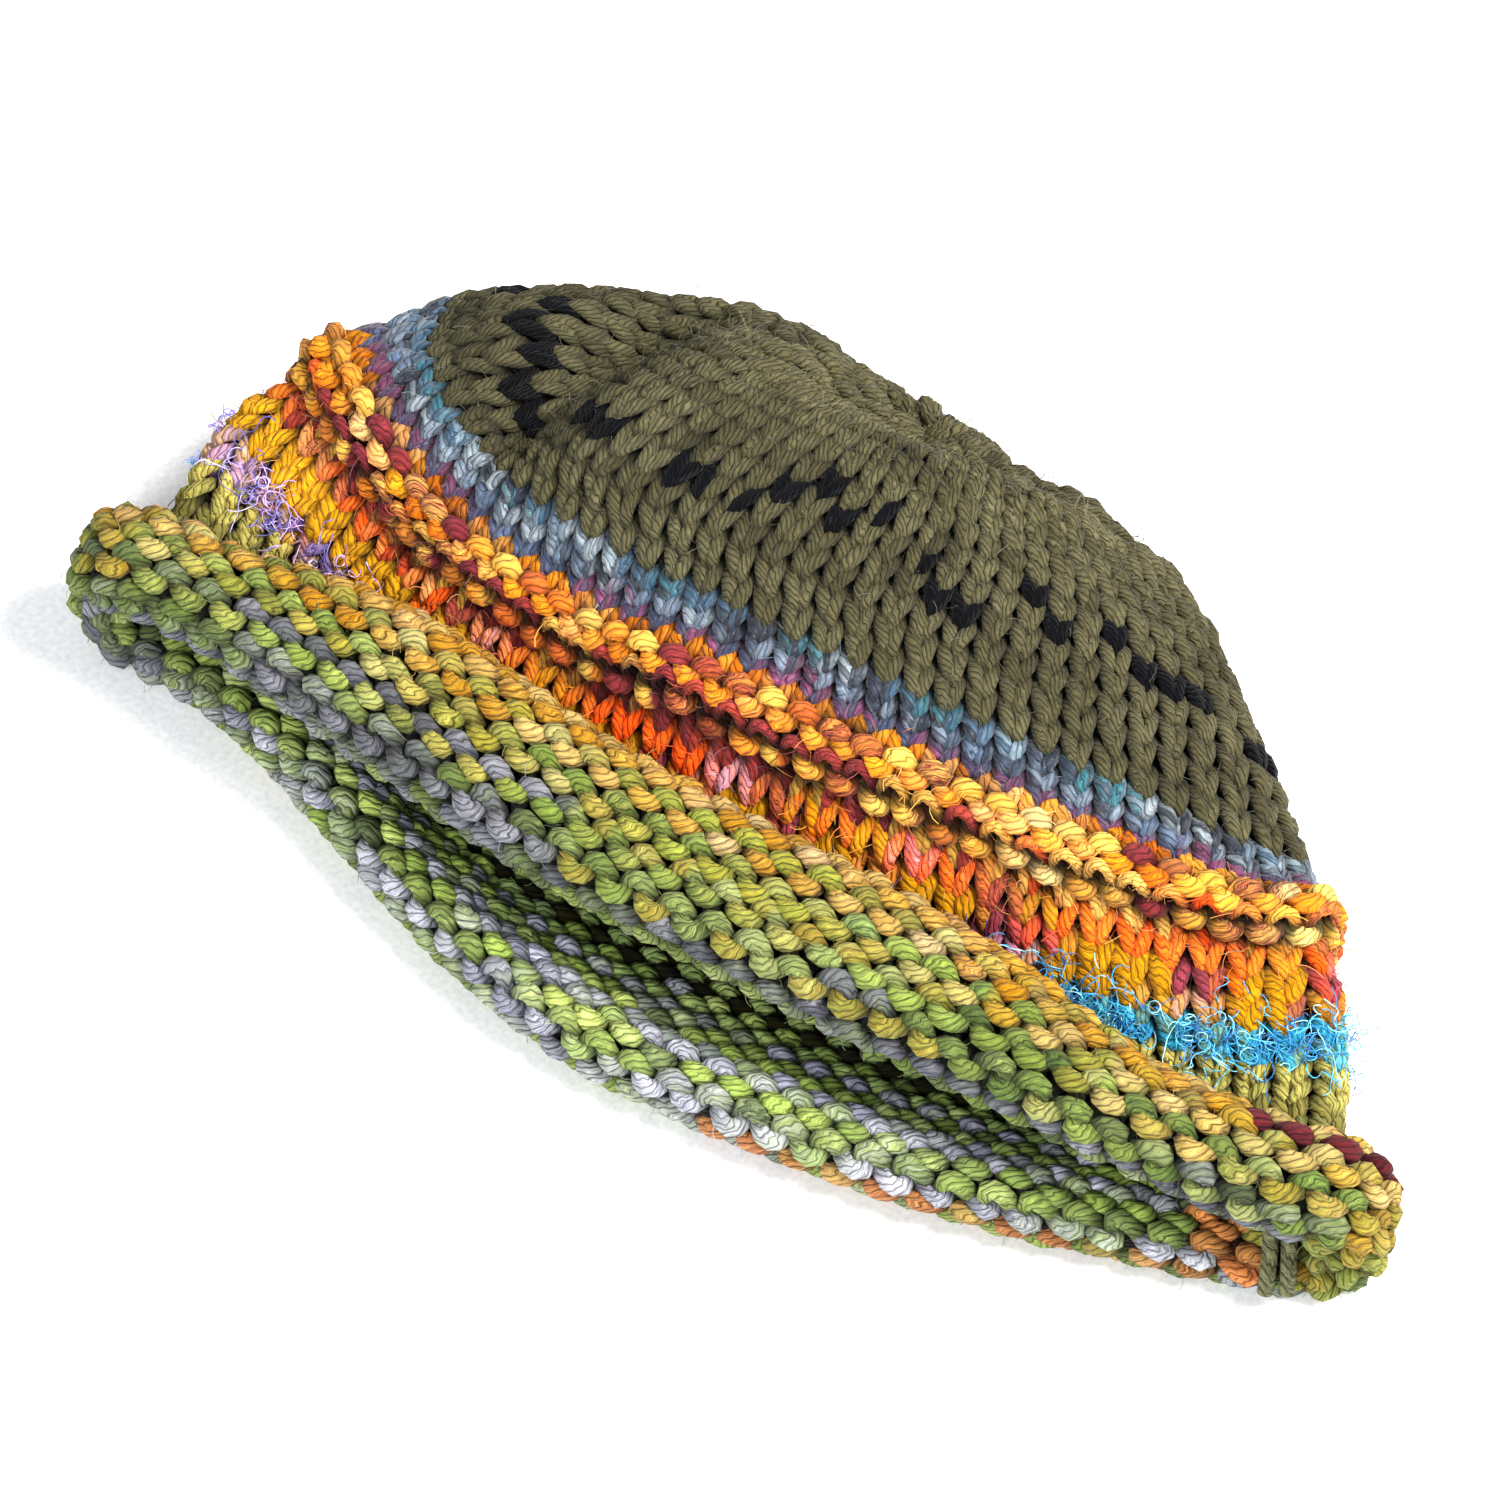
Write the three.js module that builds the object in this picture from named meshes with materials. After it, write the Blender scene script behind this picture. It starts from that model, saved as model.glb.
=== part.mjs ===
// A chunky hand-knit cap that lies on its side. Its mouth faces -Y, its gathered crown +Y,
// and its edge rolls outwards. Lengths are in millimetres. The origin is the middle of its base.
import * as THREE from 'three';

// Main sizes
const HALF_WIDTH = 125; // middle of the cap to the end of its mouth, at the lip's wall
const DEPTH = 140; // front of the lip to the back of the crown
const HEIGHT = 66; // floor to the top of the crown
const WALL = 5; // knitted wall
const SHIFT_Y = 4; // sets the origin at the middle of the base
const GAP = 0.35; // between one stripe's solid and the next

// The rolled edge
const ROLL_TURN = 5.5; // radius where the wall turns outwards, on the upper layer
const ROLL_FACE = 14; // straight stretch of the roll's face, at the middle
const END_FACE = 5; // the same at the cap's two ends
const END_OPEN = 7; // half the height that the mouth keeps where the layers fold into each other
const OPEN_REACH = 0.45; // sine of the angle that this opening reaches to
const OPEN_RATE = 7; // how fast it opens from the fold
const END_ROUND = 0.15; // how far round the cap each end's bend reaches, as a share of the half turn
const ROLL_CURL = 5; // radius of the curled edge behind the face
const FLAT_TURN = 4.25; // radius where the wall turns under, on the layer that lies on the floor
const FLAT_FACE = 2;
const END_LEAN = 0.12; // how far the face leans outwards at the two ends, in radians
const MIDDLE_LEAN = 0.66; // the same at the middle of the upper layer
const FLAT_CURL = 0.15; // how far the edge curls on behind the face, in radians, on the floor
const END_CURL = 2.2; // the same at the two ends
const MIDDLE_CURL = 1.5; // the same at the middle of the upper layer
const FLOOR_BLEND = { from: -0.35, to: 0.05 }; // sine of the angle where the flat edge becomes a roll

// Where the roll grows from its size at the ends to its full size, as shares of the way up round
// the mouth. It is fuller on the left half.
const ROLL_FULL = { left: { from: 0.45, to: 0.9 }, right: { from: 0.68, to: 1 } };

// The purl ridge stands proud of the wall by this much
const WELT_RISE = 3.2;
const WELT_FULLNESS = 0.6; // power of a half sine: less is boxier

// Yarn ends
const TAIL_DIAMETER = 3;
const TAIL_SIDES = 8;

// Steps of the mesh
const AROUND = 56; // round the cap
const CROWDING = 0.15; // how much closer the steps are at the cap's two ends
const TURN_STEPS = 6;
const CURL_STEPS = 5;
const CROWN_LOOPS = 16;
const BRIM_LOOPS = 4;
const SLOPE_ROUND = 0.2; // rounds and radians to each side from which a direction is taken
const SLOPE_ANGLE = 0.05;
const POLE_LEAN = -0.2; // slope of the wall at the middle of the gather

// Knitted rounds counted from the lip, where each stripe begins
const ROUND = { lip: 0, brimEnd: 6, eyelash: 8, band: 10, welt: 14, blue: 16, crown: 19, pole: 40 };
const fromLip = (share) => share * ROUND.crown;
const fromCrown = (share) => ROUND.crown + share * (ROUND.pole - ROUND.crown);

// Where the wall's middle surface runs, a row for each station. left and right are its two ends, as
// shares of HALF_WIDTH. Y columns are shares of DEPTH, at the ends and at the middle of the upper
// and of the lower layer. Z columns are shares of HEIGHT. The bows say how each half of a layer runs
// from its end to its middle, seen from above: 1 is an ellipse, less is boxier, more is sharper.
const STATIONS = [
  {
    round: fromLip(0), left: -0.996, right: 1.0,
    leftY: -0.215, rightY: -0.27, topY: -0.342, lowY: -0.447,
    leftZ: 0.21, rightZ: 0.22, topZ: 0.38, lowZ: 0.167,
    topBowL: 3.6, topBowR: 1.0, lowBowL: 4.8, lowBowR: 1.7,
  },
  {
    round: fromLip(0.263), left: -0.996, right: 0.95,
    leftY: -0.118, rightY: -0.165, topY: -0.265, lowY: -0.289,
    leftZ: 0.3, rightZ: 0.3, topZ: 0.303, lowZ: 0.053,
    topBowL: 3, topBowR: 1, lowBowL: 2.2, lowBowR: 1,
  },
  {
    round: fromLip(0.421), left: -1.0, right: 0.915,
    leftY: -0.025, rightY: -0.089, topY: -0.22, lowY: -0.189,
    leftZ: 0.364, rightZ: 0.348, topZ: 0.333, lowZ: 0.03,
    topBowL: 2.2, topBowR: 1, lowBowL: 1.4, lowBowR: 1,
  },
  {
    round: fromLip(0.526), left: -0.995, right: 0.88,
    leftY: 0.025, rightY: -0.046, topY: -0.19, lowY: -0.118,
    leftZ: 0.394, rightZ: 0.394, topZ: 0.4, lowZ: 0.015,
    topBowL: 1.8, topBowR: 0.9, lowBowL: 1.2, lowBowR: 1,
  },
  {
    round: fromLip(0.632), left: -0.965, right: 0.84,
    leftY: 0.082, rightY: 0.004, topY: -0.152, lowY: -0.046,
    leftZ: 0.424, rightZ: 0.424, topZ: 0.5, lowZ: 0,
    topBowL: 1.6, topBowR: 0.9, lowBowL: 1.2, lowBowR: 1,
  },
  {
    round: fromLip(0.789), left: -0.924, right: 0.78,
    leftY: 0.168, rightY: 0.068, topY: -0.06, lowY: 0.054,
    leftZ: 0.47, rightZ: 0.47, topZ: 0.682, lowZ: 0,
    topBowL: 1.3, topBowR: 0.8, lowBowL: 1.2, lowBowR: 1,
  },
  {
    round: fromCrown(0), left: -0.81, right: 0.725,
    leftY: 0.325, rightY: 0.118, topY: 0.012, lowY: 0.182,
    leftZ: 0.5, rightZ: 0.485, topZ: 0.81, lowZ: 0,
    topBowL: 0.7, topBowR: 0.75, lowBowL: 1.2, lowBowR: 1.2,
  },
  {
    round: fromCrown(0.238), left: -0.724, right: 0.575,
    leftY: 0.354, rightY: 0.235, topY: 0.14, lowY: 0.325,
    leftZ: 0.576, rightZ: 0.485, topZ: 0.93, lowZ: 0.03,
    topBowL: 0.8, topBowR: 2, lowBowL: 1.2, lowBowR: 1.2,
  },
  {
    round: fromCrown(0.476), left: -0.548, right: 0.395,
    leftY: 0.4, rightY: 0.348, topY: 0.23, lowY: 0.405,
    leftZ: 0.66, rightZ: 0.6, topZ: 0.97, lowZ: 0.212,
    topBowL: 0.9, topBowR: 1.4, lowBowL: 1, lowBowR: 1,
  },
  {
    round: fromCrown(0.714), left: -0.332, right: 0.21,
    leftY: 0.43, rightY: 0.385, topY: 0.28, lowY: 0.4,
    leftZ: 0.77, rightZ: 0.74, topZ: 0.93, lowZ: 0.47,
    topBowL: 1, topBowR: 1, lowBowL: 1, lowBowR: 1,
  },
  {
    round: fromCrown(0.905), left: -0.19, right: 0.05,
    leftY: 0.395, rightY: 0.355, topY: 0.311, lowY: 0.402,
    leftZ: 0.85, rightZ: 0.76, topZ: 0.84, lowZ: 0.78,
    topBowL: 1, topBowR: 1, lowBowL: 1, lowBowR: 1,
  },
  {
    round: fromCrown(1), left: -0.044, right: -0.044,
    leftY: 0.36, rightY: 0.36, topY: 0.36, lowY: 0.36,
    leftZ: 0.75, rightZ: 0.75, topZ: 0.75, lowZ: 0.75,
    topBowL: 1, topBowR: 1, lowBowL: 1, lowBowR: 1,
  },
];

// How the height of the two layers bows between the ends: 1 is an ellipse, less is boxier
const TOP_ARCH = 1;
const LOW_ARCH = 0.5;

// Folds and swells of the upper layer, each along a line seen from above. x is a share of
// HALF_WIDTH, y and reach of DEPTH, and rise of HEIGHT. A valley has a negative rise.
const FOLDS = [
  { name: 'valley beside the left hump', x1: -0.4, y1: 0.45, x2: -0.57, y2: 0.16, reach: 0.06, rise: -0.15 },
  { name: 'main bulge', x1: -0.25, y1: 0.37, x2: -0.38, y2: 0.16, reach: 0.09, rise: 0.08 },
  { name: 'left hump', x1: -0.64, y1: 0.38, x2: -0.7, y2: 0.25, reach: 0.12, rise: 0.06 },
  { name: 'ridge before the gather', x1: 0, y1: 0.26, x2: 0.24, y2: 0.31, reach: 0.04, rise: 0.04 },
  { name: 'valley behind the ridge', x1: 0.05, y1: 0.34, x2: 0.27, y2: 0.37, reach: 0.035, rise: -0.06 },
  { name: 'crease across the stripes', x1: -0.66, y1: 0.0, x2: -0.32, y2: -0.06, reach: 0.08, rise: -0.08 },
];

// The folds fade in from the cap's ends, by the sine of the angle, and out towards the gather
const FOLD_FADE = { from: 0.1, to: 0.5, power: 12 };

// Yarn ends, each a route over the lower lip at the right end, points in millimetres
const TAILS = {
  yarn_tail_1: [[105.5, -21, 17.5], [109.5, -27, 17.5], [113.5, -32, 17.5], [117.3, -36.9, 16.7],
    [119.4, -40.6, 13.2], [120.6, -43.4, 8.8], [121, -44.6, 5.8]],
  yarn_tail_2: [[108.4, -18.3, 18.3], [112.3, -24.8, 18.3], [116.2, -30.3, 18.3], [119.9, -35.2, 17.2],
    [122.1, -38.7, 13.7], [123.8, -41.7, 9.3], [124.3, -43, 6.1]],
};

const COLUMNS = Object.keys(STATIONS[0]).filter((name) => name !== 'round');

// One column of the table at a round, on a smooth curve through the stations
function column(name, round) {
  const last = STATIONS.length - 1;
  let i = 0;
  while (i < last - 1 && STATIONS[i + 1].round < round) i += 1;
  const value = (k) => STATIONS[Math.min(Math.max(k, 0), last)][name];
  const at = (k) => STATIONS[Math.min(Math.max(k, 0), last)].round;
  const slope = (k) => (value(k + 1) - value(k - 1)) / (at(k + 1) - at(k - 1));
  const span = at(i + 1) - at(i);
  const t = (round - at(i)) / span;
  const t2 = t * t;
  const t3 = t2 * t;
  return (2 * t3 - 3 * t2 + 1) * value(i) + (t3 - 2 * t2 + t) * span * slope(i)
    + (3 * t2 - 2 * t3) * value(i + 1) + (t3 - t2) * span * slope(i + 1);
}

function stationAt(round) {
  const row = {};
  for (const name of COLUMNS) row[name] = column(name, round);
  return row;
}

// Height that the folds add at a place seen from above
function foldHeight(x, y) {
  let height = 0;
  for (const fold of FOLDS) {
    const from = new THREE.Vector2(fold.x1 * HALF_WIDTH, fold.y1 * DEPTH);
    const along = new THREE.Vector2(fold.x2 * HALF_WIDTH, fold.y2 * DEPTH).sub(from);
    const here = new THREE.Vector2(x, y).sub(from);
    const share = THREE.MathUtils.clamp(here.dot(along) / along.lengthSq(), 0, 1);
    const away = here.sub(along.multiplyScalar(share)).length() / (fold.reach * DEPTH);
    height += fold.rise * HEIGHT * Math.exp(-away * away);
  }
  return height;
}

// The wall's middle surface. angle 0 is the right end, a quarter turn the middle of the upper layer
function surface(round, angle) {
  const row = stationAt(round);
  const across = Math.cos(angle);
  const up = Math.sin(angle);
  const rightShare = (1 + across) / 2;
  const endY = row.leftY + (row.rightY - row.leftY) * rightShare;
  const endZ = row.leftZ + (row.rightZ - row.leftZ) * rightShare;
  const upper = up > 0;
  const side = across > 0 ? 'R' : 'L';
  const blunt = (Math.hypot(up, END_ROUND) - END_ROUND) / (Math.hypot(1, END_ROUND) - END_ROUND);
  const towardsY = blunt ** row[`${upper ? 'topBow' : 'lowBow'}${side}`];
  const towardsZ = Math.abs(up) ** (upper ? TOP_ARCH : LOW_ARCH);
  const x = ((row.left + row.right) / 2 + (across * (row.right - row.left)) / 2) * HALF_WIDTH;
  const y = (endY + towardsY * ((upper ? row.topY : row.lowY) - endY)) * DEPTH;
  let z = (endZ + towardsZ * ((upper ? row.topZ : row.lowZ) - endZ)) * HEIGHT;
  const mouth = Math.max(0, 1 - (round / ROUND.crown) ** 2);
  const nearEnd = Math.tanh(OPEN_RATE * Math.abs(up)) * Math.exp(-((up / OPEN_REACH) ** 2));
  const open = END_OPEN * nearEnd * mouth;
  z += upper ? open : -open;
  if (upper) {
    const fromEnd = THREE.MathUtils.smoothstep(up, FOLD_FADE.from, FOLD_FADE.to);
    const fade = fromEnd * (1 - (round / ROUND.pole) ** FOLD_FADE.power);
    z += foldHeight(x, y) * fade;
  }
  return new THREE.Vector3(x, y + SHIFT_Y, Math.max(z, WALL / 2));
}

// Outward normal, and the direction from the lip towards the crown
function directions(round, angle) {
  const before = surface(Math.max(round - SLOPE_ROUND, 0), angle);
  const after = surface(Math.min(round + SLOPE_ROUND, ROUND.pole - SLOPE_ROUND), angle);
  const along = after.sub(before).normalize();
  const side = surface(round, angle + SLOPE_ANGLE).sub(surface(round, angle - SLOPE_ANGLE)).normalize();
  const out = new THREE.Vector3().crossVectors(along, side).normalize();
  along.crossVectors(side, out).normalize();
  return { along, out };
}

// A point of the wall, out from its middle surface and shifted along it
function wallPoint(round, angle, outwards, shift) {
  const { along, out } = directions(round, angle);
  const point = surface(round, angle).addScaledVector(out, outwards).addScaledVector(along, shift);
  point.z = Math.max(point.z, 0);
  return point;
}

// A closed body from loops of points round the cap. Neighbouring loops are joined, and the last to
// the first unless each end closes on its own point. The strip that faces the lip is split the other
// way, like the face beside it.
function bodyFromLoops(loops, lipFace, poles) {
  const positions = [];
  const index = [];
  for (const loop of loops) for (const point of loop) positions.push(point.x, point.y, point.z);
  const id = (loop, k) => loop * AROUND + (k % AROUND);
  const strips = poles ? loops.length - 1 : loops.length;
  for (let i = 0; i < strips; i += 1) {
    const next = (i + 1) % loops.length;
    for (let k = 0; k < AROUND; k += 1) {
      const corners = [id(i, k), id(i, k + 1), id(next, k + 1), id(next, k)];
      if (i === lipFace) corners.push(corners.shift());
      index.push(corners[0], corners[2], corners[1], corners[0], corners[3], corners[2]);
    }
  }
  if (poles) {
    const first = positions.length / 3;
    for (const point of poles) positions.push(point.x, point.y, point.z);
    for (let k = 0; k < AROUND; k += 1) {
      index.push(first, id(0, k), id(0, k + 1));
      index.push(first + 1, id(loops.length - 1, k + 1), id(loops.length - 1, k));
    }
  }
  const geometry = new THREE.BufferGeometry();
  geometry.setAttribute('position', new THREE.Float32BufferAttribute(positions, 3));
  geometry.setIndex(index);
  geometry.computeVertexNormals();
  return geometry;
}

function ring(makePoint) {
  const loop = [];
  for (let k = 0; k < AROUND; k += 1) {
    const even = (2 * Math.PI * k) / AROUND;
    loop.push(makePoint(even - CROWDING * Math.sin(2 * even)));
  }
  return loop;
}

// A stripe of wall from one round to another, with its own outer profile
function stripe(from, to, steps, rise) {
  const outer = [];
  const inner = [];
  for (let i = 0; i <= steps; i += 1) {
    const share = i / steps;
    const round = from + (to - from) * share;
    let shift = 0;
    if (i === 0) shift = GAP / 2;
    if (i === steps) shift = -GAP / 2;
    outer.push(ring((angle) => wallPoint(round, angle, WALL / 2 + rise(share), shift)));
    inner.push(ring((angle) => wallPoint(round, angle, -WALL / 2, shift)));
  }
  const loops = [...outer, ...inner.reverse()];
  return bodyFromLoops(loops, loops.length - 1);
}

const flat = () => 0;
const ridge = (share) => WELT_RISE * Math.sin(Math.PI * share) ** WELT_FULLNESS;

function makeCrown() {
  const rounds = [];
  for (let i = 0; i < CROWN_LOOPS; i += 1) rounds.push(fromCrown(i / (CROWN_LOOPS + 1)));
  const poleSurface = surface(ROUND.pole, 0);
  const poleUp = new THREE.Vector3(0, POLE_LEAN, 1).normalize();
  const shift = (i) => (i ? 0 : GAP / 2);
  const outer = rounds.map((round, i) => ring((angle) => wallPoint(round, angle, WALL / 2, shift(i))));
  const inner = rounds.map((round, i) => ring((angle) => wallPoint(round, angle, -WALL / 2, shift(i))));
  const poles = [
    poleSurface.clone().addScaledVector(poleUp, -WALL / 2),
    poleSurface.clone().addScaledVector(poleUp, WALL / 2),
  ];
  return bodyFromLoops([...inner.reverse(), ...outer], rounds.length - 1, poles);
}

// How much of the upper layer's round roll a place has, from 1 to 0 on the floor
function rollShare(angle) {
  return THREE.MathUtils.smoothstep(Math.sin(angle), FLOOR_BLEND.from, FLOOR_BLEND.to);
}

// The rolled edge in section, from the wall's lip outwards: forward is out of the mouth
function rollPath(angle) {
  const share = rollShare(angle);
  const mix = THREE.MathUtils.lerp;
  const fullness = Math.cos(angle) > 0 ? ROLL_FULL.right : ROLL_FULL.left;
  const middle = THREE.MathUtils.smoothstep(Math.sin(angle), fullness.from, fullness.to);
  const lean = mix(END_LEAN, MIDDLE_LEAN, middle);
  const turn = Math.PI - lean * share;
  const turnRadius = mix(FLAT_TURN, ROLL_TURN, share);
  const curlRadius = mix(FLAT_TURN, ROLL_CURL, share);
  const face = mix(FLAT_FACE, mix(END_FACE, ROLL_FACE, middle), share);
  const curl = mix(FLAT_CURL, mix(END_CURL, MIDDLE_CURL, middle), share);
  const path = [];
  for (let i = 0; i <= TURN_STEPS; i += 1) {
    const a = (turn * i) / TURN_STEPS;
    path.push({ forward: turnRadius * Math.sin(a), out: turnRadius * (1 - Math.cos(a)), heading: a });
  }
  const start = path[path.length - 1];
  const faceEnd = {
    forward: start.forward + face * Math.cos(turn),
    out: start.out + face * Math.sin(turn),
  };
  for (let i = 1; i <= CURL_STEPS; i += 1) {
    const a = turn + (curl * i) / CURL_STEPS;
    path.push({
      forward: faceEnd.forward + curlRadius * (Math.sin(a) - Math.sin(turn)),
      out: faceEnd.out + curlRadius * (Math.cos(turn) - Math.cos(a)),
      heading: a,
    });
  }
  path.splice(TURN_STEPS + 1, 0, { forward: faceEnd.forward, out: faceEnd.out, heading: turn });
  return path;
}

// A point of the roll, side of its middle line: 1 is the outside of the roll, -1 its inside
function rollPoint(angle, i, side) {
  const { along, out } = directions(ROUND.lip, angle);
  const place = rollPath(angle)[i];
  const point = surface(ROUND.lip, angle);
  point.addScaledVector(along, -place.forward).addScaledVector(out, place.out);
  point.z = Math.max(point.z, WALL / 2);
  point.addScaledVector(along, (-side * WALL * Math.sin(place.heading)) / 2);
  point.addScaledVector(out, (-side * WALL * Math.cos(place.heading)) / 2);
  point.z = Math.max(point.z, 0);
  return point;
}

function makeBrim() {
  const loops = [];
  const rounds = [];
  for (let i = BRIM_LOOPS; i > 0; i -= 1) rounds.push((i / BRIM_LOOPS) * ROUND.brimEnd);
  const rollCount = TURN_STEPS + CURL_STEPS + 2;
  for (const round of rounds) {
    const shift = round === ROUND.brimEnd ? -GAP / 2 : 0;
    loops.push(ring((angle) => wallPoint(round, angle, -WALL / 2, shift)));
  }
  for (let i = 0; i < rollCount; i += 1) loops.push(ring((angle) => rollPoint(angle, i, 1)));
  for (let i = rollCount - 1; i >= 0; i -= 1) loops.push(ring((angle) => rollPoint(angle, i, -1)));
  for (const round of rounds.reverse()) {
    const shift = round === ROUND.brimEnd ? -GAP / 2 : 0;
    loops.push(ring((angle) => wallPoint(round, angle, WALL / 2, shift)));
  }
  return bodyFromLoops(loops);
}

function makeTail(points) {
  const curve = new THREE.CatmullRomCurve3(points.map((p) => new THREE.Vector3(...p)));
  const section = new THREE.Shape();
  for (let i = 0; i < TAIL_SIDES; i += 1) {
    const a = (2 * Math.PI * i) / TAIL_SIDES;
    const x = (TAIL_DIAMETER / 2) * Math.cos(a);
    const y = (TAIL_DIAMETER / 2) * Math.sin(a);
    if (i === 0) section.moveTo(x, y);
    else section.lineTo(x, y);
  }
  const steps = Math.round(curve.getLength() / (2 * TAIL_DIAMETER));
  const how = { steps, extrudePath: curve, curveSegments: 1, bevelEnabled: false };
  return new THREE.ExtrudeGeometry(section, how);
}

const hat = new THREE.Group();

function addPiece(name, geometry, color, roughness = 0.9) {
  const mesh = new THREE.Mesh(geometry, new THREE.MeshStandardMaterial({ color, roughness, metalness: 0 }));
  mesh.name = name;
  hat.add(mesh);
}

addPiece('brim', makeBrim(), 0x9aa34c);
addPiece('olive_rows', stripe(ROUND.brimEnd, ROUND.eyelash, 1, flat), 0xa09b50);
addPiece('eyelash_stripe', stripe(ROUND.eyelash, ROUND.band, 2, flat), 0x3a96c8, 0.4);
addPiece('band', stripe(ROUND.band, ROUND.welt, 3, flat), 0xc8860f);
addPiece('welt', stripe(ROUND.welt, ROUND.blue, 4, ridge), 0xe17d19);
addPiece('blue_stripe', stripe(ROUND.blue, ROUND.crown, 2, flat), 0x5a6e91, 0.6);
addPiece('crown', makeCrown(), 0x78734b);
for (const [name, points] of Object.entries(TAILS)) addPiece(name, makeTail(points), 0x4b4b32);

export default hat;
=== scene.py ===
"""A chunky hand-knit cap that lies on its side, knitted stitch by stitch. Its mouth faces -Y and its
gathered crown +Y. The shape is worked out in millimetres and the finished pieces are in metres."""

import math

import bpy
import numpy as np
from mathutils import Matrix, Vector


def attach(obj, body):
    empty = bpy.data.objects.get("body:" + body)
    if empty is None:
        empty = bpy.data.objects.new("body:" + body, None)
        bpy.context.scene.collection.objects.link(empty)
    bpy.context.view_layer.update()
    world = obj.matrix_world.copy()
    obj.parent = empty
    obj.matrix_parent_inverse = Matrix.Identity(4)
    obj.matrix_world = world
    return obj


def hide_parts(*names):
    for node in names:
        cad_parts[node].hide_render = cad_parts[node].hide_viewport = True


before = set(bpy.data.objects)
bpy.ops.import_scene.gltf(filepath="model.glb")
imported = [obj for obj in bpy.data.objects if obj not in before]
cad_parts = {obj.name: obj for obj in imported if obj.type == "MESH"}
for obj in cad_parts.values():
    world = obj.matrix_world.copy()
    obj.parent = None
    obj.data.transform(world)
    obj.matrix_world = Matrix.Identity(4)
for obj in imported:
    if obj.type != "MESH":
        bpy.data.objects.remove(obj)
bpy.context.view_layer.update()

MM = 0.001

# ------------------------------------------------------------------ camera
AZIMUTH, ELEVATION, DISTANCE = math.radians(30.45), math.radians(57), 1.5
BACK = Vector(
    (
        math.sin(AZIMUTH) * math.cos(ELEVATION),
        -math.cos(AZIMUTH) * math.cos(ELEVATION),
        math.sin(ELEVATION),
    )
)


def make_camera():
    camera = bpy.data.objects.new("camera", bpy.data.cameras.new("camera"))
    bpy.context.scene.collection.objects.link(camera)
    camera.location = BACK * DISTANCE
    camera.rotation_euler = BACK.to_track_quat("Z", "Y").to_euler()
    camera.data.lens = 198.1
    camera.data.sensor_width = 36
    camera.data.shift_x = -0.0314
    camera.data.shift_y = 0.0538
    camera.data.clip_end = 20
    bpy.context.scene.camera = camera


# ------------------------------------------------------------------ node helpers
class Wire:
    """An output socket. Sums and products of wires make maths nodes."""

    def __init__(self, net, node, out=0):
        self.net, self.node = net, node
        self.socket = node.outputs[out] if node.outputs else None

    def out(self, name):
        return Wire(self.net, self.node, name)

    def __add__(self, other):
        return self.net.maths("ADD", self, other)

    def __radd__(self, other):
        return self.net.maths("ADD", other, self)

    def __sub__(self, other):
        return self.net.maths("SUBTRACT", self, other)

    def __rsub__(self, other):
        return self.net.maths("SUBTRACT", other, self)

    def __mul__(self, other):
        return self.net.maths("MULTIPLY", self, other)

    def __rmul__(self, other):
        return self.net.maths("MULTIPLY", other, self)

    def __truediv__(self, other):
        return self.net.maths("DIVIDE", self, other)

    def __pow__(self, other):
        return self.net.maths("POWER", self, other)


class Net:
    """Makes the nodes of one tree."""

    def __init__(self, tree):
        self.tree = tree

    def add(self, kind, *plugs, out=0, **settings):
        """A node of any kind. plugs are (input, value) pairs, and a value may be a wire."""
        node = self.tree.nodes.new(kind)
        for key, value in settings.items():
            setattr(node, key, value)
        for key, value in plugs:
            if isinstance(value, Wire):
                self.tree.links.new(value.socket, node.inputs[key])
            else:
                node.inputs[key].default_value = value
        return Wire(self, node, out)

    def maths(self, operation, *values):
        return self.add("ShaderNodeMath", *enumerate(values), operation=operation)


def geometry_tree(name, sockets):
    """A geometry tree with a geometry input and the named (name, kind) sockets, and its net."""
    tree = bpy.data.node_groups.new(name, "GeometryNodeTree")
    tree.interface.new_socket("Geometry", in_out="INPUT", socket_type="NodeSocketGeometry")
    for socket, kind in sockets:
        tree.interface.new_socket(socket, in_out="INPUT", socket_type=kind)
    tree.interface.new_socket("Geometry", in_out="OUTPUT", socket_type="NodeSocketGeometry")
    net = Net(tree)
    return net, net.add("NodeGroupInput", out="Geometry")


def close_tree(net, geometry, material):
    """Realizes, smooths and gives the material, as the tree's last nodes."""
    real = net.add("GeometryNodeRealizeInstances", ("Geometry", geometry))
    smooth = net.add("GeometryNodeSetShadeSmooth", ("Geometry", real))
    done = net.add("GeometryNodeSetMaterial", ("Geometry", smooth), ("Material", material))
    net.add("NodeGroupOutput", ("Geometry", done))
    return net.tree


def sweep_tree():
    """Sweeps a round section along every run of edges. The radius comes from the points' width."""
    sockets = [("Sides", "NodeSocketInt"), ("Material", "NodeSocketMaterial")]
    net, start = geometry_tree("swept yarn", sockets)
    curve = net.add("GeometryNodeMeshToCurve", ("Mesh", start))
    width = net.add(
        "GeometryNodeInputNamedAttribute", ("Name", "width"), data_type="FLOAT", out="Attribute"
    )
    ring = net.add(
        "GeometryNodeCurvePrimitiveCircle",
        ("Resolution", start.out("Sides")),
        ("Radius", 1.0),
        mode="RADIUS",
    )
    place = net.add("GeometryNodeInputPosition")
    marked = net.add(
        "GeometryNodeStoreNamedAttribute",
        ("Geometry", ring),
        ("Name", "section"),
        ("Value", place),
        data_type="FLOAT_VECTOR",
        domain="POINT",
    )
    swept = net.add(
        "GeometryNodeCurveToMesh",
        ("Curve", curve),
        ("Profile Curve", marked),
        ("Scale", width),
        ("Fill Caps", True),
    )
    return close_tree(net, swept, start.out("Material"))


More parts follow.
